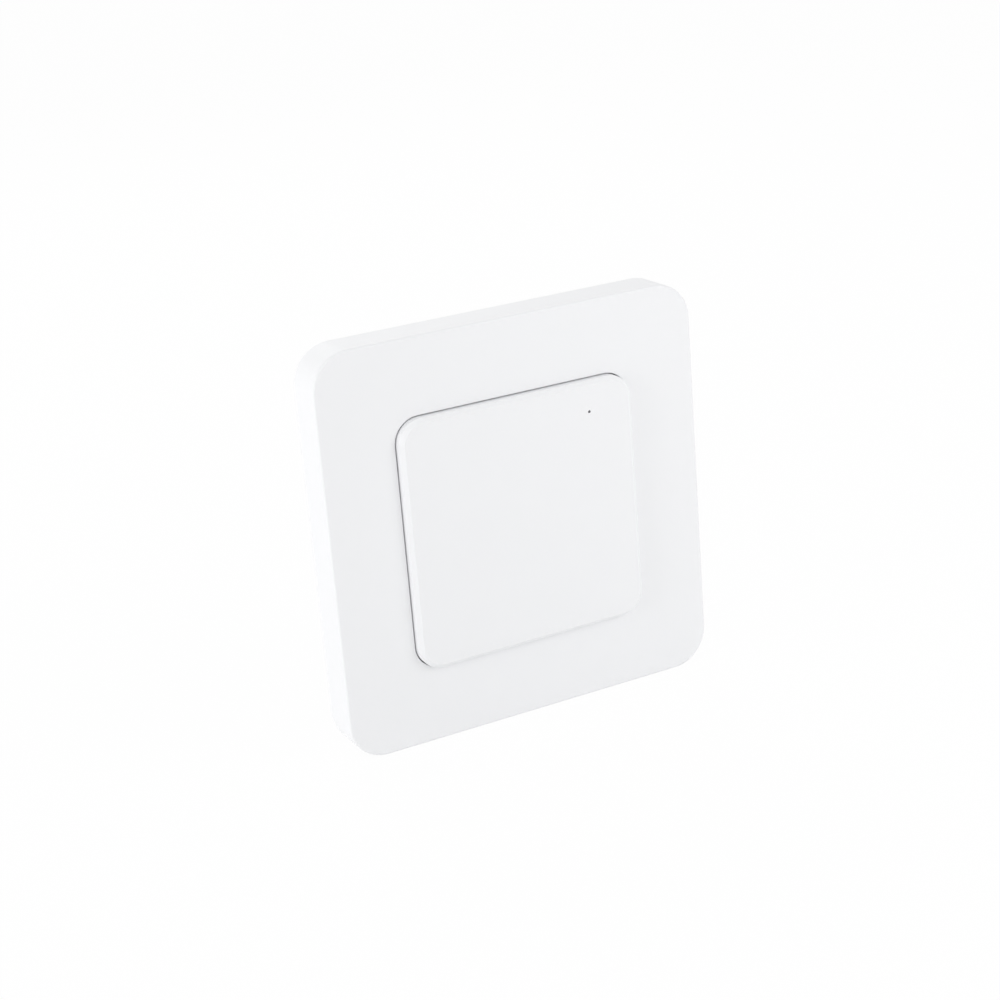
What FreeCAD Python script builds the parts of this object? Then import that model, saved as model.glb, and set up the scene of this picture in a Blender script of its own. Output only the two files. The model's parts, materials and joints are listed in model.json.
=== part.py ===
import FreeCAD, Part
import math
import operator
import os
from types import SimpleNamespace

import Sketcher
from FreeCAD import Placement, Rotation, Vector

# A battery-driven radio wall switch, 80 mm square. It hangs on a wall: +Z is up, the wall is the plane Y = 0
# and the front faces -Y. A "depth" below is the distance of a plane in front of the wall, so Y = -depth.
# The inner stack of plate, board, coin cell and rocker sets the depth of the whole switch.

# Driving dimensions, in millimetres
SIZES = {
    # Frame round the rocker
    "plate_width": 80.0,  # width and height of the frame
    "plate_corner": 7.5,  # plan radius of its corners
    "plate_wall": 1.8,  # thickness of its side walls
    "plate_front": 1.8,  # thickness of its front
    "plate_round": 0.45,  # rounding of the front rim
    "plate_lift": 0.3,  # gap between its back edge and the wall
    "opening_width": 50.0,  # square opening for the rocker
    "opening_corner": 5.0,
    "opening_bevel": 0.15,  # bevel of the opening's front edge
    "skirt_wall": 1.3,  # wall round the opening, behind the front
    "skirt_gap": 0.4,  # room between that wall and the wall plate
    "pry_width": 8.0,  # notch at the bottom for levering the frame off
    "pry_height": 1.2,
    # Rocker
    "rocker_gap": 0.2,  # gap between rocker and opening, all round
    "rocker_rise": 2.0,  # how far the rocker stands proud of the frame
    "rocker_bevel": 0.8,  # bevel of its front rim
    "rocker_face": 1.6,  # thickness of its face
    "rocker_wall": 1.3,  # thickness of its skirt
    "rocker_skirt": 4.75,  # height of the skirt
    "key_room": 1.35,  # free space behind the face for the tilt
    "post_width": 3.0,  # posts that press the switches
    "press_gap": 0.05,  # play between a post and its plunger
    "pinhole_width": 0.6,
    "pinhole_skin": 0.6,  # face left round the pinhole
    "pinhole_well": 2.4,  # recess behind the pinhole
    "lamp_side": 6.3,  # from the transmitter cover's right wall to pinhole and lamp
    "lamp_top": 2.65,  # from its top wall
    # Pivot of the rocker
    "pivot_depth": 5.5,  # distance of the tilt axis from the wall
    "pin_width": 2.4,
    "pin_play": 0.08,
    "pin_bite": 1.0,  # length of a pin inside its socket
    "ear_width": 6.0,
    "ear_bevel": 0.4,
    "guide_depth": 0.5,  # groove that leads a pin into its socket
    # Wall plate
    "base_thickness": 1.6,
    "base_play": 0.2,  # between its edge and the frame's inside
    "lip_height": 0.8,
    "lip_width": 1.2,
    "slot_spacing": 60.0,  # screws of a standard wall box
    "slot_width": 4.4,
    "slot_length": 8.0,
    "hook_spacing": 40.0,  # between the two hooks of a side
    "hook_width": 8.0,
    "hook_arm": 1.0,
    "hook_head": 1.3,
    "hook_catch": 0.6,  # how far a hook reaches past its ledge's edge
    "hook_play": 0.15,
    "ledge_reach": 0.8,
    "ledge_height": 1.0,
    # Transmitter cover
    "module_gap": 0.85,  # room between it and the rocker's skirt
    "module_corner": 2.0,
    "module_bevel": 0.6,
    "module_wall": 1.2,
    "module_face": 1.0,
    "well_wall": 0.8,  # round wall of the battery well
    "well_play": 0.3,
    "well_gap": 0.1,
    "cell_cover": 0.5,  # how deep the cell lies behind the cover's face
    "lip_reach": 0.9,  # lips that keep the cell in
    "lip_span": 3.0,
    "lip_play": 0.1,
    "finger_width": 6.0,  # notch for lifting the cell out
    "tower_width": 5.2,  # square screw towers in the corners
    "tower_skin": 0.8,  # tower left beside a sunken screw head
    "tower_inset": 3.2,
    # Circuit board
    "board_thickness": 1.0,
    "board_lift": 1.4,
    "board_play": 0.3,
    "boss_width": 4.4,
    # Screws
    "screw_width": 1.9,
    "screw_play": 0.1,
    "screw_floor": 0.6,  # plate left under a screw hole
    "head_width": 3.4,
    "head_height": 1.2,
    "head_sink": 0.2,
    # Push switches
    "switch_width": 6.0,
    "switch_height": 2.4,
    "switch_skin": 0.2,  # sheet metal of its cover
    "switch_arm": 8.0,  # distance from the tilt axis
    "switch_play": 0.4,
    "plunger_width": 3.2,
    "plunger_flange": 4.2,  # square foot that keeps the plunger in
    "flange_height": 0.5,
    "plunger_play": 0.1,
    "plunger_room": 0.4,  # free stroke under and over the flange
    "plunger_rise": 3.25,  # height of its top over the board
    "lead_width": 0.7,
    "lead_reach": 0.8,
    "lead_skin": 0.2,
    # Coin cell and its contacts
    "cell_width": 20.0,
    "cell_height": 3.2,
    "cap_width": 17.2,
    "cap_step": 0.4,
    "contact_height": 0.3,
    "contact_width": 5.0,
    "contact_skin": 0.15,
    "contact_zone": 2.4,  # strip of board between well and switches
    "touch_gap": 0.02,
    # Lamp
    "lamp_width": 3.0,
    "lamp_play": 0.15,
    "pitch": 2.54,
    "wire_width": 0.4,
    "wire_stub": 0.7,
    # Small parts on the board
    "chip_width": 3.9,
    "chip_length": 4.9,
    "chip_height": 1.5,
    "chip_pitch": 1.27,
    "chip_gap": 0.4,  # between the push switches and the parts beside them
    "can_width": 5.0,
    "can_height": 1.4,
    "can_foot": 0.5,
    "dot_width": 1.3,
    "dot_length": 2.9,
    "dot_height": 1.0,
    "dot_pitch": 1.9,
    "bead_length": 2.0,
    "bead_width": 1.25,
    "bead_height": 0.9,
    "bead_pitch": 3.2,
    "antenna_wire": 0.7,  # flat-sided wire
    "antenna_length": 24.0,
    "antenna_height": 2.2,
    "antenna_bend": 1.2,
}


class Length:
    """A size that knows its value in millimetres and the sheet expression that gives it."""

    def __init__(self, value, text):
        self.value = value
        self.text = text

    def __add__(self, other):
        return combine(self, "+", other)

    def __radd__(self, other):
        return combine(other, "+", self)

    def __sub__(self, other):
        return combine(self, "-", other)

    def __rsub__(self, other):
        return combine(other, "-", self)

    def __mul__(self, other):
        return combine(self, "*", other)

    def __rmul__(self, other):
        return combine(other, "*", self)

    def __truediv__(self, other):
        return combine(self, "/", other)


OPERATIONS = {"+": operator.add, "-": operator.sub, "*": operator.mul, "/": operator.truediv}


def value_of(amount):
    return amount.value if isinstance(amount, Length) else float(amount)


def text_of(amount):
    return amount.text if isinstance(amount, Length) else repr(float(amount))


def combine(left, sign, right):
    value = OPERATIONS[sign](value_of(left), value_of(right))
    return Length(value, f"({text_of(left)} {sign} {text_of(right)})")


doc = FreeCAD.newDocument("wall_switch")
sheet = doc.addObject("Spreadsheet::Sheet", "sizes")
for row, (alias, number) in enumerate(SIZES.items(), start=1):
    sheet.set(f"A{row}", str(number))
    sheet.setAlias(f"A{row}", alias)
doc.recompute()
size = SimpleNamespace(**{alias: Length(number, f"sizes.{alias}") for alias, number in SIZES.items()})

# Depths, from the wall to the front
board_back = size.base_thickness + size.board_lift
board_front = board_back + size.board_thickness
switch_front = board_front + size.switch_height
plunger_front = board_front + size.plunger_rise
cell_back = board_front + size.contact_height
cell_front = cell_back + size.cell_height
module_front = cell_front + size.cell_cover
module_ceiling = module_front - size.module_face
rocker_ceiling = module_front + size.key_room
rocker_front = rocker_ceiling + size.rocker_face
rocker_back = rocker_front - size.rocker_skirt
frame_front = rocker_front - size.rocker_rise
frame_ceiling = frame_front - size.plate_front
ledge_back = size.base_thickness + size.lip_height + size.hook_play
ledge_front = ledge_back + size.ledge_height
head_seat = module_front - size.head_sink - size.head_height

# Widths and places across the front
frame_inside = size.plate_width - 2 * size.plate_wall
base_width = frame_inside - 2 * size.base_play
rocker_width = size.opening_width - 2 * size.rocker_gap
rocker_inside = rocker_width - 2 * size.rocker_wall
module_width = rocker_inside - 2 * size.module_gap
module_inside = module_width - 2 * size.module_wall
board_width = module_inside - 2 * size.board_play
tower_place = module_inside / 2 - size.tower_inset
well_inside = size.cell_width + 2 * size.well_play
well_width = well_inside + 2 * size.well_wall
cell_right = well_width / 2 + size.well_gap - module_inside / 2
switch_right = cell_right + well_width / 2 + size.contact_zone + size.switch_width / 2
chip_right = switch_right + size.switch_width / 2 + size.lead_reach + size.chip_gap + size.can_width / 2
lamp_right = module_inside / 2 - size.lamp_side
lamp_up = module_inside / 2 - size.lamp_top
ledge_edge = frame_inside / 2 - size.ledge_reach
hook_face = ledge_edge - size.hook_play

SIDES = (1, -1)
# Two screws hold the cover across one diagonal, and the lamp has a corner of the other
SCREW_CORNERS = ((-1, 1), (1, -1))
# Legs along one side of the encoder chip, in steps of its pitch from the middle
LEG_STEPS = (-1.5, -0.5, 0.5, 1.5)
# Distance within which an edge counts as lying in a plane
CLOSE = 1e-4


def bind(target, path, amount):
    """Ties a property to the sheet where the amount comes from there."""
    if isinstance(amount, Length):
        target.setExpression(path, amount.text)


def new_body(label):
    body = doc.addObject("PartDesign::Body", label)
    body.Label = label
    return body


def attached_sketch(body, role, place, turn):
    """A sketch on one of the body's origin planes, moved by place and turned in that plane's own axes."""
    sketch = body.newObject("Sketcher::SketchObject", "Sketch")
    plane = next(feature for feature in body.Origin.OriginFeatures if feature.Role == role)
    sketch.AttachmentSupport = (plane, "")
    sketch.MapMode = "FlatFace"
    sketch.AttachmentOffset = Placement(Vector(*(value_of(part) for part in place)), turn)
    for letter, part in zip("xyz", place):
        bind(sketch, f"AttachmentOffset.Base.{letter}", part)
    return sketch


def face_sketch(body, depth, right=0.0, up=0.0):
    """A sketch that faces the room: its axes are X and Z, and it is padded towards the front."""
    return attached_sketch(body, "XZ_Plane", (right, up, depth), Rotation())


def plan_sketch(body, right=0.0, up=0.0, side=1):
    """A level sketch: its axes are X, or -X where side is -1, and the depth."""
    turn = Rotation(Vector(1, 0, 0), 180) if side > 0 else Rotation(Vector(0, 0, 1), 180)
    return attached_sketch(body, "XY_Plane", (right, 0.0, up), turn)


def side_sketch(body, right):
    """An upright sketch seen from the right: its axes are Z and the depth, and it is padded to the right."""
    return attached_sketch(body, "YZ_Plane", (0.0, 0.0, right), Rotation(Vector(0, 0, 1), 90))


def measure(sketch, kind, amount, *points):
    """A dimension of a sketch, tied to the sheet."""
    number = sketch.addConstraint(Sketcher.Constraint(kind, *points, value_of(amount)))
    bind(sketch, f"Constraints[{number}]", amount)


def draw_circle(sketch, width, depth=0.0):
    """A circle on the sketch's upright axis."""
    middle = Vector(0, value_of(depth), 0)
    ring = sketch.addGeometry(Part.Circle(middle, Vector(0, 0, 1), value_of(width) / 2))
    measure(sketch, "Diameter", width, ring)
    if value_of(depth):
        sketch.addConstraint(Sketcher.Constraint("PointOnObject", ring, 3, -2))
        measure(sketch, "DistanceY", depth, -1, 1, ring, 3)
    else:
        sketch.addConstraint(Sketcher.Constraint("Coincident", ring, 3, -1, 1))


def draw_rectangle(sketch, width, height):
    """A rectangle about the sketch's origin."""
    x, y = value_of(width) / 2, value_of(height) / 2
    corners = [Vector(-x, -y, 0), Vector(x, -y, 0), Vector(x, y, 0), Vector(-x, y, 0)]
    lines = [sketch.addGeometry(Part.LineSegment(corners[n], corners[(n + 1) % 4])) for n in range(4)]
    for n in range(4):
        sketch.addConstraint(Sketcher.Constraint("Coincident", lines[n], 2, lines[(n + 1) % 4], 1))
        sketch.addConstraint(Sketcher.Constraint("Vertical" if n % 2 else "Horizontal", lines[n]))
    sketch.addConstraint(Sketcher.Constraint("Symmetric", lines[0], 1, lines[2], 1, -1, 1))
    measure(sketch, "DistanceX", width, lines[0], 1, lines[0], 2)
    measure(sketch, "DistanceY", height, lines[1], 1, lines[1], 2)


def draw_rounded(sketch, width, height, radius):
    """A rectangle about the sketch's origin, with round corners."""
    x, y, r = value_of(width) / 2, value_of(height) / 2, value_of(radius)
    lines, arcs = [], []
    ends = [
        ((r - x, -y), (x - r, -y)),
        ((x, r - y), (x, y - r)),
        ((x - r, y), (r - x, y)),
        ((-x, y - r), (-x, r - y)),
    ]
    middles = [(x - r, r - y), (x - r, y - r), (r - x, y - r), (r - x, r - y)]
    for n in range(4):
        start, end = (Vector(*point, 0) for point in ends[n])
        lines.append(sketch.addGeometry(Part.LineSegment(start, end)))
        ring = Part.Circle(Vector(*middles[n], 0), Vector(0, 0, 1), r)
        arcs.append(sketch.addGeometry(Part.ArcOfCircle(ring, (n - 1) * math.pi / 2, n * math.pi / 2)))
    for n in range(4):
        sketch.addConstraint(Sketcher.Constraint("Tangent", lines[n], 2, arcs[n], 1))
        sketch.addConstraint(Sketcher.Constraint("Tangent", arcs[n], 2, lines[(n + 1) % 4], 1))
        sketch.addConstraint(Sketcher.Constraint("Vertical" if n % 2 else "Horizontal", lines[n]))
    for arc in arcs[1:]:
        sketch.addConstraint(Sketcher.Constraint("Equal", arcs[0], arc))
    sketch.addConstraint(Sketcher.Constraint("Symmetric", arcs[0], 3, arcs[2], 3, -1, 1))
    measure(sketch, "Radius", radius, arcs[0])
    measure(sketch, "DistanceX", width - 2 * radius, arcs[3], 3, arcs[0], 3)
    measure(sketch, "DistanceY", height - 2 * radius, arcs[0], 3, arcs[1], 3)


def draw_slot(sketch, length, width, upright):
    """A slot with round ends about the sketch's origin, lying along X or standing along Z."""
    half, r = (value_of(length) - value_of(width)) / 2, value_of(width) / 2
    along, across = (Vector(0, 1, 0), Vector(-1, 0, 0)) if upright else (Vector(1, 0, 0), Vector(0, 1, 0))
    first = math.pi if upright else math.pi / 2
    arcs, lines = [], []
    for sign, start in ((1, first + math.pi), (-1, first)):
        end, flank = along * (sign * half), across * (sign * r)
        ring = Part.Circle(end, Vector(0, 0, 1), r)
        arcs.append(sketch.addGeometry(Part.ArcOfCircle(ring, start, start + math.pi)))
        lines.append(sketch.addGeometry(Part.LineSegment(end + flank, flank - end)))
    for n in range(2):
        sketch.addConstraint(Sketcher.Constraint("Tangent", arcs[n], 2, lines[n], 1))
        sketch.addConstraint(Sketcher.Constraint("Tangent", lines[n], 2, arcs[1 - n], 1))
    sketch.addConstraint(Sketcher.Constraint("Vertical" if upright else "Horizontal", lines[0]))
    sketch.addConstraint(Sketcher.Constraint("Equal", arcs[0], arcs[1]))
    sketch.addConstraint(Sketcher.Constraint("Symmetric", arcs[0], 3, arcs[1], 3, -1, 1))
    measure(sketch, "Radius", width / 2, arcs[0])
    measure(sketch, "DistanceY" if upright else "DistanceX", length - width, arcs[1], 3, arcs[0], 3)


def draw_polygon(sketch, points):
    """A closed outline through points whose two coordinates are zero or more."""
    corners = [Vector(value_of(x), value_of(y), 0) for x, y in points]
    count = len(corners)
    lines = []
    for n in range(count):
        lines.append(sketch.addGeometry(Part.LineSegment(corners[n], corners[(n + 1) % count])))
    for n, point in enumerate(points):
        sketch.addConstraint(Sketcher.Constraint("Coincident", lines[n - 1], 2, lines[n], 1))
        for kind, axis, amount in (("DistanceX", -2, point[0]), ("DistanceY", -1, point[1])):
            if value_of(amount):
                measure(sketch, kind, amount, -1, 1, lines[n], 1)
            else:
                sketch.addConstraint(Sketcher.Constraint("PointOnObject", lines[n], 1, axis))


def draw_staple(sketch, length, foot, top, bend):
    """The open path of a wire that stands up, runs level and comes down again."""
    x, low, high, r = value_of(length), value_of(foot), value_of(top), value_of(bend)
    ends = [((0, low), (0, high - r)), ((r, high), (x - r, high)), ((x, high - r), (x, low))]
    lines = [sketch.addGeometry(Part.LineSegment(*(Vector(*point, 0) for point in pair))) for pair in ends]
    first = Part.Circle(Vector(r, high - r, 0), Vector(0, 0, 1), r)
    last = Part.Circle(Vector(x - r, high - r, 0), Vector(0, 0, 1), r)
    arcs = [sketch.addGeometry(Part.ArcOfCircle(first, math.pi / 2, math.pi))]
    arcs.append(sketch.addGeometry(Part.ArcOfCircle(last, 0, math.pi / 2)))
    sketch.addConstraint(Sketcher.Constraint("Tangent", lines[0], 2, arcs[0], 2))
    sketch.addConstraint(Sketcher.Constraint("Tangent", arcs[0], 1, lines[1], 1))
    sketch.addConstraint(Sketcher.Constraint("Tangent", lines[1], 2, arcs[1], 2))
    sketch.addConstraint(Sketcher.Constraint("Tangent", arcs[1], 1, lines[2], 1))
    sketch.addConstraint(Sketcher.Constraint("Vertical", lines[0]))
    sketch.addConstraint(Sketcher.Constraint("Horizontal", lines[1]))
    sketch.addConstraint(Sketcher.Constraint("Vertical", lines[2]))
    sketch.addConstraint(Sketcher.Constraint("Equal", arcs[0], arcs[1]))
    sketch.addConstraint(Sketcher.Constraint("PointOnObject", lines[0], 1, -2))
    measure(sketch, "Radius", bend, arcs[0])
    measure(sketch, "DistanceY", foot, -1, 1, lines[0], 1)
    measure(sketch, "DistanceY", foot, -1, 1, lines[2], 2)
    measure(sketch, "DistanceY", top, -1, 1, lines[1], 1)
    measure(sketch, "DistanceX", length, lines[0], 1, lines[2], 2)


def add_feature(body, kind, sketch, length):
    feature = body.newObject(f"PartDesign::{kind}", kind)
    feature.Profile = sketch
    feature.Length = value_of(length)
    bind(feature, "Length", length)
    return feature


def pad(body, sketch, length, backwards=False):
    """Adds material from the sketch along its normal: towards the front, or to the right."""
    feature = add_feature(body, "Pad", sketch, length)
    feature.Reversed = backwards
    return feature


def pad_both_ways(body, sketch, length):
    feature = add_feature(body, "Pad", sketch, length)
    feature.SideType = "Symmetric"
    return feature


def cut(body, sketch, length, backwards=False):
    """Removes material from the sketch along its normal, and makes sure that it did."""
    doc.recompute([body])
    before = body.Shape.Volume
    feature = add_feature(body, "Pocket", sketch, length)
    feature.Reversed = not backwards
    doc.recompute([body])
    if not body.Shape.Volume < before:
        raise RuntimeError(f"a cut in {body.Label} removes nothing")
    return feature


def turn_profile(body, sketch):
    """A full turn of a plan sketch about its depth axis."""
    feature = body.newObject("PartDesign::Revolution", "Revolution")
    feature.Profile = sketch
    feature.ReferenceAxis = (sketch, ["V_Axis"])
    feature.Angle = 360
    return feature


def dress_edges(body, kind, name, amount, chosen):
    """Rounds or bevels the edges of the body that chosen picks from its shape."""
    doc.recompute([body])
    base = body.Tip
    edges = chosen(base.Shape)
    names = [
        f"Edge{n}" for n, edge in enumerate(base.Shape.Edges, start=1)
        if any(edge.isSame(other) for other in edges)
    ]
    if not names:
        raise RuntimeError(f"no edge to dress in {body.Label}")
    dressing = body.newObject(f"PartDesign::{kind}", kind)
    dressing.Base = (base, names)
    setattr(dressing, name, value_of(amount))
    bind(dressing, name, amount)
    doc.recompute([body])


def round_edges(body, radius, chosen):
    dress_edges(body, "Fillet", "Radius", radius, chosen)


def bevel_edges(body, width, chosen):
    dress_edges(body, "Chamfer", "Size", width, chosen)


def reach_of(edge):
    """How far an edge gets from the middle of the switch, to any side."""
    box = edge.BoundBox
    return max(abs(box.XMin), abs(box.XMax), abs(box.ZMin), abs(box.ZMax))


def edges_at(depth, within=None):
    """Picks the edges that lie in the plane at this depth, or only those within a square of this width."""
    level = -value_of(depth)

    def chosen(shape):
        flat = [
            edge for edge in shape.Edges
            if abs(edge.BoundBox.YMin - level) < CLOSE and abs(edge.BoundBox.YMax - level) < CLOSE
        ]
        return [edge for edge in flat if within is None or reach_of(edge) < value_of(within) / 2]

    return chosen


def square_blank(body, back, front, width, corner):
    """A square block with round corners."""
    outline = face_sketch(body, back)
    draw_rounded(outline, width, width, corner)
    pad(body, outline, front - back)


def hollow(body, back, ceiling, width, corner):
    """Hollows a block from its back plane up to a flat ceiling."""
    outline = face_sketch(body, back)
    draw_rounded(outline, width, width, corner)
    cut(body, outline, ceiling - back)


def round_pad(body, width, back, front, right, up):
    outline = face_sketch(body, back, right, up)
    draw_circle(outline, width)
    pad(body, outline, front - back)


def round_cut(body, width, back, front, right, up):
    outline = face_sketch(body, back, right, up)
    draw_circle(outline, width)
    cut(body, outline, front - back)


def block_pad(body, width, height, back, front, right, up):
    outline = face_sketch(body, back, right, up)
    draw_rectangle(outline, width, height)
    pad(body, outline, front - back)


def block_cut(body, width, height, back, front, right, up):
    outline = face_sketch(body, back, right, up)
    draw_rectangle(outline, width, height)
    cut(body, outline, front - back)


def hook_places():
    """Each hook's side and its height: two on the left wall and two on the right."""
    return [(side, level * size.hook_spacing / 2) for side in SIDES for level in SIDES]


def screw_places():
    return [(side * tower_place, level * tower_place) for side, level in SCREW_CORNERS]


def switch_places():
    return [(switch_right, level * size.switch_arm) for level in SIDES]


# Frame

def cover_frame():
    body = new_body("cover_frame")
    square_blank(body, size.plate_lift, frame_front, size.plate_width, size.plate_corner)
    round_edges(body, size.plate_round, edges_at(frame_front))
    hollow(body, size.plate_lift, frame_ceiling, frame_inside, size.plate_corner - size.plate_wall)
    skirt_width = size.opening_width + 2 * size.skirt_wall
    skirt_back = size.base_thickness + size.skirt_gap
    square_blank(body, skirt_back, frame_ceiling, skirt_width, size.opening_corner + size.skirt_wall)
    hollow(body, size.plate_lift, frame_front, size.opening_width, size.opening_corner)
    bevel_edges(body, size.opening_bevel, edges_at(frame_front, skirt_width))
    ledge_width = size.ledge_reach + size.plate_wall / 2
    for side, up in hook_places():
        block_pad(body, ledge_width, size.hook_width, ledge_back, ledge_front,
                  side * (ledge_edge + ledge_width / 2), up)
    block_cut(body, size.pry_width, 2 * size.plate_wall, size.plate_lift, size.plate_lift + size.pry_height,
              0.0, -1 * size.plate_width / 2)
    return body


# Rocker

def rocker():
    body = new_body("rocker")
    corner = size.opening_corner - size.rocker_gap
    square_blank(body, rocker_back, rocker_front, rocker_width, corner)
    bevel_edges(body, size.rocker_bevel, edges_at(rocker_front))
    hollow(body, rocker_back, rocker_ceiling, rocker_inside, corner - size.rocker_wall)
    ear_back = size.pivot_depth - size.ear_width / 2
    for side in SIDES:
        ear_middle = side * (rocker_width - size.rocker_wall) / 2
        block_pad(body, size.rocker_wall, size.ear_width, ear_back, rocker_ceiling, ear_middle, 0.0)
    bevel_edges(body, size.ear_bevel, edges_at(ear_back))
    for side in SIDES:
        pin = side_sketch(body, side * rocker_inside / 2)
        draw_circle(pin, size.pin_width, size.pivot_depth)
        pad(body, pin, size.module_gap + size.pin_bite, backwards=side > 0)
    tip = plunger_front + size.press_gap
    for right, up in switch_places():
        block_pad(body, size.post_width, size.post_width, tip, rocker_ceiling, right, up)
    block_cut(body, size.pinhole_well, size.pinhole_well, rocker_ceiling, rocker_front - size.pinhole_skin,
              lamp_right, lamp_up)
    round_cut(body, size.pinhole_width, rocker_ceiling, rocker_front, lamp_right, lamp_up)
    return body


# Wall plate

def wall_plate():
    body = new_body("wall_plate")
    corner = size.plate_corner - size.plate_wall - size.base_play
    square_blank(body, 0.0, size.base_thickness, base_width, corner)
    rib_length = base_width - 2 * corner
    rib_place = (base_width - size.lip_width) / 2
    rib_front = size.base_thickness + size.lip_height
    for side in SIDES:
        block_pad(body, size.lip_width, rib_length, size.base_thickness, rib_front, side * rib_place, 0.0)
        block_pad(body, rib_length, size.lip_width, size.base_thickness, rib_front, 0.0, side * rib_place)
    for level in SIDES:
        for upright in (False, True):
            offset = level * size.slot_spacing / 2
            slot = face_sketch(body, 0.0, 0.0 if upright else offset, offset if upright else 0.0)
            draw_slot(slot, size.slot_length, size.slot_width, upright)
            cut(body, slot, size.base_thickness)
    for right, up in screw_places() + switch_places():
        block_pad(body, size.boss_width, size.boss_width, size.base_thickness, board_back, right, up)
    for right, up in screw_places():
        round_cut(body, size.screw_width + 2 * size.screw_play, size.screw_floor, board_back, right, up)
    catch = ledge_front + size.hook_play
    tip = hook_face + size.hook_play + size.hook_catch
    notch = base_width / 2 - hook_face + size.base_play
    notch_width = size.hook_width + 2 * size.base_play
    for side, up in hook_places():
        block_cut(body, notch, notch_width, 0.0, catch, side * (hook_face + notch / 2), up)
        hook = plan_sketch(body, 0.0, up, side)
        draw_polygon(hook, [
            (hook_face - size.hook_arm, size.base_thickness / 2),
            (hook_face, size.base_thickness / 2),
            (hook_face, catch),
            (tip, catch),
            (hook_face, catch + size.hook_head),
            (hook_face - size.hook_arm, catch + size.hook_head),
        ])
        pad_both_ways(body, hook, size.hook_width)
    return body


# Transmitter cover

def module_cover():
    body = new_body("module_cover")
    square_blank(body, size.base_thickness, module_front, module_width, size.module_corner)
    bevel_edges(body, size.module_bevel, edges_at(module_front))
    hollow(body, size.base_thickness, module_ceiling, module_inside, size.module_corner - size.module_wall)
    add_battery_well(body)
    for side, level in SCREW_CORNERS:
        add_screw_tower(body, side, level)
    recess = size.switch_width + 2 * size.switch_play
    hole = size.post_width + 3 * size.switch_play
    for right, up in switch_places():
        block_cut(body, recess, recess, module_ceiling, module_ceiling + size.module_face / 2, right, up)
        block_cut(body, hole, hole, module_ceiling, module_front, right, up)
    lamp_hole = size.lamp_width + 2 * size.lamp_play
    round_cut(body, lamp_hole, module_ceiling, module_front, lamp_right, lamp_up)
    for side in SIDES:
        add_socket(body, side)
    return body


def add_socket(body, side):
    """A socket for a pin of the rocker, with a groove that leads the pin in from the front."""
    width = size.pin_width + 2 * size.pin_play
    face = side * module_width / 2
    socket = side_sketch(body, face)
    draw_circle(socket, width, size.pivot_depth)
    cut(body, socket, size.module_wall + size.well_gap / 2, backwards=side > 0)
    block_cut(body, 2 * size.guide_depth, width, size.pivot_depth, module_front, face, 0.0)


def add_battery_well(body):
    """A round wall for the coin cell, open to the front, with lips that keep the cell in."""
    round_pad(body, well_width, cell_back, module_ceiling, cell_right, 0.0)
    round_cut(body, well_inside, cell_back, module_front, cell_right, 0.0)
    block_cut(body, size.contact_zone, size.contact_width + 2 * size.board_play, cell_back, module_ceiling,
              cell_right + well_width / 2, 0.0)
    radius = well_inside / 2
    block_cut(body, size.finger_width, size.finger_width, module_ceiling, module_front, cell_right, radius)
    for side in SIDES:
        block_pad(body, 2 * size.lip_reach, size.lip_span, cell_front + size.lip_play, module_front,
                  cell_right + side * radius, 0.0)


def add_screw_tower(body, side, level):
    """A solid corner that stands on the board, lowered so that a screw head lies below the face."""
    width = size.tower_inset + size.tower_width / 2
    place = (module_inside - width) / 2
    block_pad(body, width, width, board_front, module_ceiling, side * place, level * place)
    step = width + size.module_wall
    step_place = place + size.tower_skin + size.module_wall / 2
    block_cut(body, step, step, head_seat, module_front, side * step_place, level * step_place)
    round_cut(body, size.screw_width + 4 * size.screw_play, board_front, head_seat, side * tower_place,
              level * tower_place)


# Circuit board

def circuit_board():
    body = new_body("circuit_board")
    block_pad(body, board_width, board_width, board_back, board_front, 0.0, 0.0)
    for right, up in screw_places():
        round_cut(body, size.screw_width + 4 * size.screw_play, board_back, board_front, right, up)
    for side in SIDES:
        block_cut(body, 2 * size.wire_width, 2 * size.wire_width, board_back, board_front,
                  lamp_right + side * size.pitch / 2, lamp_up)
    return body


# Push switches

def switch_base(label, right, up):
    body = new_body(label)
    depth = size.switch_width - 2 * size.switch_skin
    block_pad(body, size.switch_width, depth, board_front, switch_front, right, up)
    well = size.flange_height + 2 * size.plunger_room
    room = size.plunger_flange + 2 * size.plunger_play
    block_cut(body, room, room, switch_front - well, switch_front, right, up)
    for side in SIDES:
        for level in SIDES:
            lead_place = right + side * size.switch_width / 2
            lead_up = up + level * (depth / 2 - size.lead_width)
            block_pad(body, 2 * size.lead_reach, size.lead_width, board_front, board_front + size.lead_skin,
                      lead_place, lead_up)
    return body


def switch_cover(label, right, up):
    body = new_body(label)
    front = switch_front + size.switch_skin
    block_pad(body, size.switch_width, size.switch_width, switch_front, front, right, up)
    flap_width = size.switch_width / 2
    flap_place = (size.switch_width - size.switch_skin) / 2
    flap_back = switch_front - size.switch_height / 2
    for level in SIDES:
        block_pad(body, flap_width, size.switch_skin, flap_back, front, right, up + level * flap_place)
    round_cut(body, size.plunger_width + 2 * size.plunger_play, switch_front, front, right, up)
    return body


def switch_plunger(label, right, up):
    body = new_body(label)
    shoulder = switch_front - size.plunger_room
    foot = shoulder - size.flange_height
    block_pad(body, size.plunger_flange, size.plunger_flange, foot, shoulder, right, up)
    round_pad(body, size.plunger_width, shoulder, plunger_front, right, up)
    return body


# Coin cell and its spring contacts

def coin_cell():
    body = new_body("coin_cell")
    profile = plan_sketch(body, cell_right, 0.0)
    rim = size.cell_width / 2
    step = cell_back + size.cap_step
    draw_polygon(profile, [
        (0.0, cell_back),
        (size.cap_width / 2, cell_back),
        (size.cap_width / 2, step),
        (rim, step),
        (rim, cell_front),
        (0.0, cell_front),
    ])
    turn_profile(body, profile)
    return body


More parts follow.
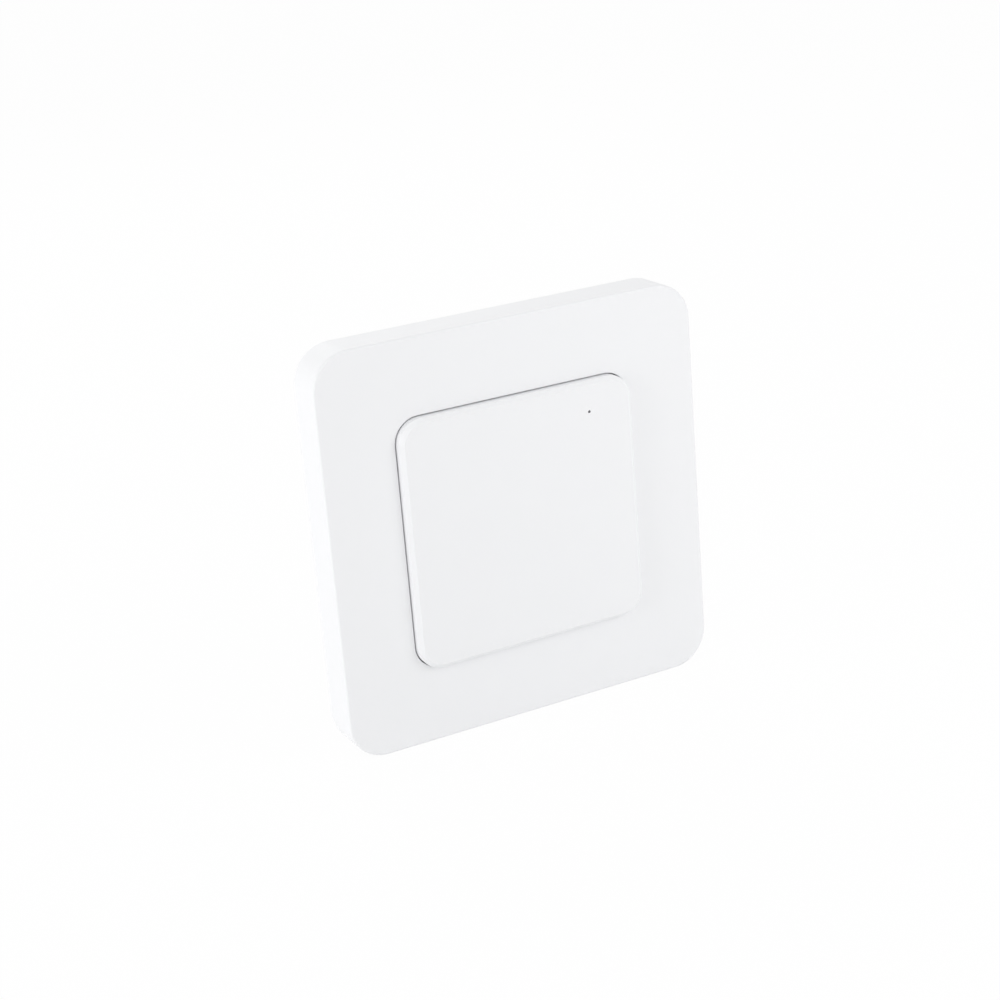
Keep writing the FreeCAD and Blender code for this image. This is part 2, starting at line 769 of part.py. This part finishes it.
def positive_contact():
    """A strip that stands on the board beside the cell and springs against its rim."""
    body = new_body("positive_contact")
    profile = plan_sketch(body, cell_right + size.cell_width / 2, 0.0)
    skin = size.contact_skin
    heel = size.well_play + size.well_wall
    touch = board_front + size.contact_height + size.cell_height / 2
    lead_in = touch + size.cell_height / 4
    draw_polygon(profile, [
        (heel, board_front),
        (heel + size.lead_reach, board_front),
        (heel + size.lead_reach, board_front + skin),
        (heel + skin, board_front + skin),
        (size.touch_gap + skin, touch),
        (heel / 2 + skin, lead_in),
        (heel / 2, lead_in),
        (size.touch_gap, touch),
    ])
    pad_both_ways(body, profile, size.contact_width)
    return body


def negative_contact():
    """A bowed leaf on the board under the cell."""
    body = new_body("negative_contact")
    span = size.cap_width / 2
    profile = plan_sketch(body, cell_right - span / 2, 0.0)
    skin = size.contact_skin
    high = cell_back - size.touch_gap
    draw_polygon(profile, [
        (0.0, high - skin),
        (span / 3, board_front),
        (span * 2 / 3, board_front),
        (span, high - skin),
        (span, high),
        (span * 2 / 3, board_front + skin),
        (span / 3, board_front + skin),
        (0.0, high),
    ])
    pad_both_ways(body, profile, size.contact_width)
    return body


# Lamp

def indicator_led():
    body = new_body("indicator_led")
    round_pad(body, size.lamp_width, board_front, module_front, lamp_right, lamp_up)
    for side in SIDES:
        block_pad(body, size.wire_width, size.wire_width, board_back - size.wire_stub, board_front,
                  lamp_right + side * size.pitch / 2, lamp_up)
    return body


# Small parts on the board

def add_leg(body, right, up, half_width, height, side):
    """One bent leg of a board part, from its wall down to the board."""
    leg = plan_sketch(body, right, up, side)
    skin = size.lead_skin
    waist = board_front + height / 2
    draw_polygon(leg, [
        (half_width - skin, waist),
        (half_width + skin, waist),
        (half_width + skin, board_front),
        (half_width + size.lead_reach, board_front),
        (half_width + size.lead_reach, board_front + skin),
        (half_width + 2 * skin, board_front + skin),
        (half_width + 2 * skin, waist + skin),
        (half_width - skin, waist + skin),
    ])
    pad_both_ways(body, leg, 2 * skin)


def encoder_chip():
    body = new_body("encoder_chip")
    block_pad(body, size.chip_width, size.chip_length, board_front + size.lead_skin / 2,
              board_front + size.chip_height, chip_right, 0.0)
    for side in SIDES:
        for step in LEG_STEPS:
            add_leg(body, chip_right, step * size.chip_pitch, size.chip_width / 2, size.chip_height, side)
    return body


def resonator():
    body = new_body("resonator")
    up = -1 * (size.chip_length / 2 + size.can_width)
    foot = board_front + size.can_foot
    lid = size.can_width - 2 * size.lead_skin
    block_pad(body, size.can_width, size.can_width, board_front, foot, chip_right, up)
    block_pad(body, lid, lid, foot, board_front + size.can_height, chip_right, up)
    return body


def rf_transistor():
    body = new_body("rf_transistor")
    up = size.chip_length / 2 + size.can_width
    block_pad(body, size.dot_width, size.dot_length, board_front + size.lead_skin / 2,
              board_front + size.dot_height, chip_right, up)
    add_leg(body, chip_right, up, size.dot_width / 2, size.dot_height, 1)
    for level in SIDES:
        add_leg(body, chip_right, up + level * size.dot_pitch / 2, size.dot_width / 2, size.dot_height, -1)
    return body


def wire_antenna():
    body = new_body("wire_antenna")
    left = -1 * size.antenna_length / 2
    low = -1 * tower_place
    path = plan_sketch(body, left, low)
    draw_staple(path, size.antenna_length, board_front, board_front + size.antenna_height, size.antenna_bend)
    section = face_sketch(body, board_front, left, low)
    draw_rectangle(section, size.antenna_wire, size.antenna_wire)
    doc.recompute()
    pipe = body.newObject("PartDesign::AdditivePipe", "AdditivePipe")
    pipe.Profile = section
    pipe.Spine = (path, [])
    doc.recompute()
    return body


def bead_row(label, count, left, up):
    """A row of chip parts on the board, each its own block."""
    row = []
    for n in range(count):
        bead = doc.addObject("Part::Box", f"{label}_{n}")
        middle = left + n * size.bead_pitch
        lengths = {"Length": size.bead_width, "Width": size.bead_height, "Height": size.bead_length}
        for name, amount in lengths.items():
            setattr(bead, name, amount.value)
            bind(bead, name, amount)
        front = -1 * (board_front + size.bead_height)
        corner = (middle - size.bead_width / 2, front, up - size.bead_length / 2)
        bead.Placement = Placement(Vector(*(part.value for part in corner)), Rotation())
        for letter, part in zip("xyz", corner):
            bind(bead, f"Placement.Base.{letter}", part)
        row.append(bead)
    group = doc.addObject("Part::Compound", label)
    group.Label = label
    group.Links = row
    return group


def chip_capacitors():
    return bead_row("chip_capacitors", 6, cell_right, well_width / 2 + size.bead_length)


def chip_resistors():
    return bead_row("chip_resistors", 5, cell_right, -1 * (well_width / 2 + size.bead_length))


# Screws through the cover and the board into the wall plate

def cover_screw(number, right, up):
    body = new_body(f"cover_screw_{number}")
    profile = plan_sketch(body, right, up)
    radius = size.screw_width / 2
    head_top = head_seat + size.head_height
    point = size.screw_floor + size.screw_play
    draw_polygon(profile, [
        (0.0, point),
        (radius, point),
        (radius, head_seat),
        (size.head_width / 2, head_seat),
        (size.head_width / 2, head_top),
        (0.0, head_top),
    ])
    turn_profile(body, profile)
    return body


def cover_screws():
    group = doc.addObject("Part::Compound", "cover_screws")
    group.Label = "cover_screws"
    group.Links = [cover_screw(n, right, up) for n, (right, up) in enumerate(screw_places(), start=1)]
    return group


def build():
    pieces = [cover_frame(), rocker(), wall_plate(), module_cover(), circuit_board()]
    for name, (right, up) in zip(("upper", "lower"), switch_places()):
        pieces.append(switch_base(f"{name}_switch_base", right, up))
        pieces.append(switch_cover(f"{name}_switch_cover", right, up))
        pieces.append(switch_plunger(f"{name}_switch_plunger", right, up))
    pieces += [coin_cell(), positive_contact(), negative_contact(), indicator_led()]
    pieces += [encoder_chip(), resonator(), rf_transistor(), wire_antenna()]
    pieces += [chip_capacitors(), chip_resistors(), cover_screws()]
    return pieces


pieces = build()
doc.recompute()
for thing in doc.Objects:
    if {"Invalid", "Error"} & set(thing.State):
        raise RuntimeError(f"{thing.Label} failed: {thing.State}")
for piece in pieces:
    if piece.Shape.isNull() or not piece.Shape.isValid():
        raise RuntimeError(f"{piece.Label} has no valid shape")
os.makedirs("parts", exist_ok=True)
for piece in pieces:
    piece.Shape.exportStep(f"parts/{piece.Label}.step")
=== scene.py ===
import json
import math

import bpy
from mathutils import Matrix, Vector


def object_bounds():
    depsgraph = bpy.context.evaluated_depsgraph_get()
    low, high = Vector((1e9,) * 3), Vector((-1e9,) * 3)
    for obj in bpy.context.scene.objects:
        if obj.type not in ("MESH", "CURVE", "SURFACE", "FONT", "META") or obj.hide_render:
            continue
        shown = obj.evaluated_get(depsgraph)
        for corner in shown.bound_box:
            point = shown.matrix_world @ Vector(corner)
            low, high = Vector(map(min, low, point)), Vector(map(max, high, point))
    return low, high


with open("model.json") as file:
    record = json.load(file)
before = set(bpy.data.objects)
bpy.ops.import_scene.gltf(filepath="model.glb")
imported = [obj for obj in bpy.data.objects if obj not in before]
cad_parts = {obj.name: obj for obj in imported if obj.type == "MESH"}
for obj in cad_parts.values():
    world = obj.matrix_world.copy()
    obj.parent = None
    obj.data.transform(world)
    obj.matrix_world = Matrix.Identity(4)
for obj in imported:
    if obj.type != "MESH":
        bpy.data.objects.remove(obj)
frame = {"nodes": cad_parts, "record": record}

# The switch hangs on a wall: +Z is up, the wall is the plane Y = 0 and the front faces -Y.
# Lengths are in metres, apart from the lens, which Blender takes in millimetres.
cad_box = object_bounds()
MM = 0.001

# Camera, fitted to the outline of the frame's front in the photograph
LENS_WIDTH = 36.0
LENS_LENGTH = 74.54
NEAR_LIMIT = 0.01
CAMERA_PLACE = Vector((-172.1, -340.8, 132.5)) * MM
CAMERA_RIGHT = Vector((0.87739, -0.47330, -0.07856))
CAMERA_FORWARD = Vector((0.42642, 0.84433, -0.32445))

# Noise: its middle range, where nearly all of its values lie, and how much fine detail it has
NOISE_LOW = 0.3
NOISE_HIGH = 0.7
PLAIN_DETAIL = 2.0

# Mouldings: a roughness, and the size and depth of the grain, with slow clouds of shade and of gloss
WHITE = (0.9, 0.905, 0.918, 1.0)
OUTER_PLASTICS = {
    "frame_plastic": {"roughness": 0.5, "grain": 0.16 * MM, "depth": 0.012 * MM},
    "rocker_plastic": {"roughness": 0.46, "grain": 0.16 * MM, "depth": 0.01 * MM},
}
INNER_SLOTS = ("base_plastic", "cover_plastic", "switch_plastic", "chip_resin")
INNER_PLASTIC = {"roughness": 0.55, "grain": 0.25 * MM, "depth": 0.02 * MM}
CERAMIC_SLOTS = ("capacitor_ceramic", "resistor_ceramic")
CERAMIC = {"roughness": 0.4, "grain": 0.1 * MM, "depth": 0.008 * MM}
PLASTIC_INDEX = 1.5
GRAIN_DETAIL = 3.0
GRAIN_STRENGTH = 0.6
CLOUD_SIZE = 9 * MM
CLOUD_SHADE = 0.992
GLOSS_SIZE = 4 * MM
GLOSS_DETAIL = 4.0
GLOSS_DRIFT = 0.03

# Metals: a roughness, and fine lines drawn out along the height by rolling
METALS = {"sheet_steel": 0.3, "cell_steel": 0.25, "copper_wire": 0.35, "screw_steel": 0.32}
LINE_SIZE = 0.12 * MM
LINE_STRETCH = (1.0, 1.0, 0.06)
LINE_SHADE = 0.9
LINE_DRIFT = 0.06
LINE_DEPTH = 0.004 * MM
LINE_STRENGTH = 0.5

# Circuit board: the weave of the glass under a slightly rippled coat
WEAVE_SIZE = 0.5 * MM
WEAVE_SHADE = 0.92
RIPPLE_SIZE = 0.8 * MM
RIPPLE_DEPTH = 0.01 * MM
RIPPLE_STRENGTH = 0.4
BOARD_ROUGHNESS = (0.25, 0.35)

# Indicator lamp: half-clear coloured resin
RESIN_INDEX = 1.53
RESIN_CLEARNESS = 0.5
RESIN_CLOUD_SIZE = 0.7 * MM
RESIN_SHADE = 0.85
RESIN_ROUGHNESS = (0.08, 0.16)

# Edges: no moulded or stamped edge is quite sharp, but two pieces have steps too small to be rounded
SAME_POINT = 0.002 * MM
FLAT_ANGLE = math.radians(1)
SHARP_ANGLE = math.radians(40)
EDGE_STEPS = 3
EDGE_ROUND = 0.03 * MM
PLAIN_EDGED = ("module_cover", "indicator_led")

# Stage: a white floor and backdrop, even light from all round and three soft lamps, the top one behind
FLOOR_HALF = 3.0
FLOOR_WHITE = (0.95, 0.95, 0.95, 1.0)
FLOOR_ROUGHNESS = 0.9
FLOOR_GLOW = 0.96
SKY_WHITE = (1.0, 1.0, 1.0, 1.0)
SKY_LEVEL = 0.675
SEEN_SKY_LEVEL = 1.0
LAMPS = {
    "left": {"place": (-0.8, -0.1, 0.2), "size": 0.5, "power": 2.2},
    "right": {"place": (0.3, -0.34, 0.2), "size": 0.25, "power": 0.57},
    "top": {"place": (0.1, 0.6, 0.5), "size": 0.4, "power": 0.96},
}


# Node helpers

def new_material(name):
    """A new material, with its nodes, its links and its main shader."""
    material = bpy.data.materials.new(name)
    material.use_nodes = True
    nodes = material.node_tree.nodes
    shader = next(node for node in nodes if node.type == "BSDF_PRINCIPLED")
    return material, nodes, material.node_tree.links, shader


def object_noise(nodes, links, size, detail=PLAIN_DETAIL):
    """Noise in the part's own metres, with features of about this size."""
    place = nodes.new("ShaderNodeTexCoord")
    noise = nodes.new("ShaderNodeTexNoise")
    noise.inputs["Scale"].default_value = 1.0 / size
    noise.inputs["Detail"].default_value = detail
    links.new(place.outputs["Object"], noise.inputs["Vector"])
    return noise.outputs["Fac"]


def vary_roughness(nodes, links, shader, source, low, high):
    """Lets the roughness wander between two values by a noise's middle range."""
    ramp = nodes.new("ShaderNodeMapRange")
    ramp.inputs["From Min"].default_value = NOISE_LOW
    ramp.inputs["From Max"].default_value = NOISE_HIGH
    ramp.inputs["To Min"].default_value = low
    ramp.inputs["To Max"].default_value = high
    links.new(source, ramp.inputs["Value"])
    links.new(ramp.outputs["Result"], shader.inputs["Roughness"])


def vary_colour(nodes, links, shader, source, colour, darkest):
    """Lets the colour wander by a noise between itself and a darker shade."""
    mix = nodes.new("ShaderNodeMix")
    mix.data_type = "RGBA"
    mix.inputs["A"].default_value = shade(colour, darkest)
    mix.inputs["B"].default_value = colour
    links.new(source, mix.inputs["Factor"])
    links.new(mix.outputs["Result"], shader.inputs["Base Color"])


def add_bump(nodes, links, shader, source, depth, strength):
    """Raises and sinks the surface by a noise."""
    bump = nodes.new("ShaderNodeBump")
    bump.inputs["Strength"].default_value = strength
    bump.inputs["Distance"].default_value = depth
    links.new(source, bump.inputs["Height"])
    links.new(bump.outputs["Normal"], shader.inputs["Normal"])


def shade(colour, factor):
    """The same colour, darker by a factor."""
    return tuple(channel * factor for channel in colour[:3]) + (1.0,)


# Materials

def moulded_plastic(name, colour, roughness, grain, depth):
    """Moulded plastic: a fine spark-eroded grain, a slow drift of gloss and a faint drift of shade."""
    material, nodes, links, shader = new_material(name)
    shader.inputs["IOR"].default_value = PLASTIC_INDEX
    clouds = object_noise(nodes, links, CLOUD_SIZE)
    vary_colour(nodes, links, shader, clouds, colour, CLOUD_SHADE)
    gloss = object_noise(nodes, links, GLOSS_SIZE, GLOSS_DETAIL)
    vary_roughness(nodes, links, shader, gloss, roughness - GLOSS_DRIFT, roughness + GLOSS_DRIFT)
    fine = object_noise(nodes, links, grain, GRAIN_DETAIL)
    add_bump(nodes, links, shader, fine, depth, GRAIN_STRENGTH)
    return material


def stamped_metal(name, colour, roughness):
    """Sheet metal with fine lines from rolling."""
    material, nodes, links, shader = new_material(name)
    shader.inputs["Metallic"].default_value = 1.0
    place = nodes.new("ShaderNodeTexCoord")
    stretch = nodes.new("ShaderNodeMapping")
    stretch.inputs["Scale"].default_value = LINE_STRETCH
    noise = nodes.new("ShaderNodeTexNoise")
    noise.inputs["Scale"].default_value = 1.0 / LINE_SIZE
    links.new(place.outputs["Object"], stretch.inputs["Vector"])
    links.new(stretch.outputs["Vector"], noise.inputs["Vector"])
    lines = noise.outputs["Fac"]
    vary_colour(nodes, links, shader, lines, colour, LINE_SHADE)
    vary_roughness(nodes, links, shader, lines, roughness - LINE_DRIFT, roughness + LINE_DRIFT)
    add_bump(nodes, links, shader, lines, LINE_DEPTH, LINE_STRENGTH)
    return material


def board_laminate(name, colour):
    """Solder resist over the weave of a glass laminate."""
    material, nodes, links, shader = new_material(name)
    weave = nodes.new("ShaderNodeTexChecker")
    weave.inputs["Scale"].default_value = 1.0 / WEAVE_SIZE
    weave.inputs["Color1"].default_value = shade(colour, WEAVE_SHADE)
    weave.inputs["Color2"].default_value = colour
    place = nodes.new("ShaderNodeTexCoord")
    links.new(place.outputs["Object"], weave.inputs["Vector"])
    links.new(weave.outputs["Color"], shader.inputs["Base Color"])
    ripple = object_noise(nodes, links, RIPPLE_SIZE)
    vary_roughness(nodes, links, shader, ripple, *BOARD_ROUGHNESS)
    add_bump(nodes, links, shader, ripple, RIPPLE_DEPTH, RIPPLE_STRENGTH)
    return material


def clear_resin(name, colour):
    """The lamp's coloured resin."""
    material, nodes, links, shader = new_material(name)
    shader.inputs["IOR"].default_value = RESIN_INDEX
    shader.inputs["Transmission Weight"].default_value = RESIN_CLEARNESS
    clouds = object_noise(nodes, links, RESIN_CLOUD_SIZE)
    vary_colour(nodes, links, shader, clouds, colour, RESIN_SHADE)
    vary_roughness(nodes, links, shader, clouds, *RESIN_ROUGHNESS)
    return material


def record_colour(slot):
    """The colour that the record gives for a material slot."""
    found = next(entry for entry in frame["record"]["materials"] if entry["slot"] == slot)
    return tuple(found["base_color"][:3]) + (1.0,)


def make_materials():
    """One material for each material slot of the record."""
    made = {slot: moulded_plastic(slot, WHITE, **finish) for slot, finish in OUTER_PLASTICS.items()}
    made["lamp_resin"] = clear_resin("lamp_resin", record_colour("lamp_resin"))
    made["board_laminate"] = board_laminate("board_laminate", record_colour("board_laminate"))
    for slot in INNER_SLOTS:
        made[slot] = moulded_plastic(slot, record_colour(slot), **INNER_PLASTIC)
    for slot in CERAMIC_SLOTS:
        made[slot] = moulded_plastic(slot, record_colour(slot), **CERAMIC)
    for slot, roughness in METALS.items():
        made[slot] = stamped_metal(slot, record_colour(slot), roughness)
    return made


# Pieces

def dress_nodes():
    """Gives each node its material, its rounded edges and an even shading."""
    materials = make_materials()
    for entry in frame["record"]["subparts"]:
        node = frame["nodes"][entry["node"]]
        node.data.materials.clear()
        node.data.materials.append(materials[entry["material_slot"]])
        join_faces(node)
        if entry["node"] not in PLAIN_EDGED:
            round_edges(node)
        normals = node.modifiers.new("even shading", "WEIGHTED_NORMAL")
        normals.keep_sharp = True


def join_faces(node):
    """Joins the triangles of each flat face into one."""
    node.data.polygons.foreach_set("use_smooth", [True] * len(node.data.polygons))
    weld = node.modifiers.new("join", "WELD")
    weld.merge_threshold = SAME_POINT
    flatten = node.modifiers.new("flat faces", "DECIMATE")
    flatten.decimate_type = "DISSOLVE"
    flatten.angle_limit = FLAT_ANGLE


def round_edges(node):
    """Rounds a node's sharp edges by a little, which the narrowest of its faces has room for."""
    edges = node.modifiers.new("rounded edges", "BEVEL")
    edges.width = EDGE_ROUND
    edges.segments = EDGE_STEPS
    edges.limit_method = "ANGLE"
    edges.angle_limit = SHARP_ANGLE
    edges.use_clamp_overlap = False


# Stage

def add_camera():
    """The camera at the photograph's place, made square from the two fitted directions."""
    data = bpy.data.cameras.new("camera")
    data.sensor_width = LENS_WIDTH
    data.lens = LENS_LENGTH
    data.clip_start = NEAR_LIMIT
    camera = bpy.data.objects.new("camera", data)
    bpy.context.scene.collection.objects.link(camera)
    forward = CAMERA_FORWARD.normalized()
    right = (CAMERA_RIGHT - forward * CAMERA_RIGHT.dot(forward)).normalized()
    turn = Matrix((right, right.cross(forward), -forward)).transposed()
    camera.matrix_world = Matrix.Translation(CAMERA_PLACE) @ turn.to_4x4()
    bpy.context.scene.camera = camera


def add_floor():
    """A pale floor under the switch that reads as white to the camera and still takes its shadow."""
    low = cad_box[0].z
    sides = ((-1, -1), (1, -1), (1, 1), (-1, 1))
    corners = [(x * FLOOR_HALF, y * FLOOR_HALF, low) for x, y in sides]
    mesh = bpy.data.meshes.new("floor")
    mesh.from_pydata(corners, [], [(0, 1, 2, 3)])
    mesh.materials.append(floor_paper())
    plane = bpy.data.objects.new("floor", mesh)
    bpy.context.scene.collection.objects.link(plane)


def floor_paper():
    """Pale paper that glows only where the camera sees it, straight, mirrored or through glass."""
    material, nodes, links, shader = new_material("floor")
    shader.inputs["Base Color"].default_value = FLOOR_WHITE
    shader.inputs["Roughness"].default_value = FLOOR_ROUGHNESS
    glow = nodes.new("ShaderNodeEmission")
    share = nodes.new("ShaderNodeMath")
    share.operation = "MULTIPLY"
    share.inputs[1].default_value = FLOOR_GLOW
    links.new(seen_rays(nodes, links), share.inputs[0])
    blend = nodes.new("ShaderNodeMixShader")
    links.new(share.outputs["Value"], blend.inputs["Fac"])
    links.new(shader.outputs["BSDF"], blend.inputs[1])
    links.new(glow.outputs["Emission"], blend.inputs[2])
    out = next(node for node in nodes if node.type == "OUTPUT_MATERIAL")
    links.new(blend.outputs["Shader"], out.inputs["Surface"])
    return material


def seen_rays(nodes, links):
    """One for rays that the camera sees straight, mirrored or through glass, and nought for other light."""
    path = nodes.new("ShaderNodeLightPath")
    total = path.outputs["Is Camera Ray"]
    for name in ("Is Glossy Ray", "Is Transmission Ray"):
        joined = nodes.new("ShaderNodeMath")
        joined.operation = "MAXIMUM"
        links.new(total, joined.inputs[0])
        links.new(path.outputs[name], joined.inputs[1])
        total = joined.outputs["Value"]
    return total


def add_lamp(name, place, size, power):
    """A square lamp that faces the switch."""
    data = bpy.data.lights.new(name, "AREA")
    data.size = size
    data.energy = power
    lamp = bpy.data.objects.new(name, data)
    bpy.context.scene.collection.objects.link(lamp)
    lamp.location = place
    lamp.rotation_euler = (-Vector(place)).to_track_quat("-Z", "Y").to_euler()


def add_sky():
    """Even light from all round, which the camera sees as white."""
    sky = bpy.data.worlds.new("studio")
    bpy.context.scene.world = sky
    sky.use_nodes = True
    nodes = sky.node_tree.nodes
    links = sky.node_tree.links
    background = next(node for node in nodes if node.type == "BACKGROUND")
    background.inputs["Color"].default_value = SKY_WHITE
    level = nodes.new("ShaderNodeMapRange")
    level.inputs["To Min"].default_value = SKY_LEVEL
    level.inputs["To Max"].default_value = SEEN_SKY_LEVEL
    links.new(seen_rays(nodes, links), level.inputs["Value"])
    links.new(level.outputs["Result"], background.inputs["Strength"])


dress_nodes()
add_camera()
add_floor()
add_sky()
for name, lamp in LAMPS.items():
    add_lamp(name, **lamp)
bpy.context.scene.view_settings.view_transform = "Standard"
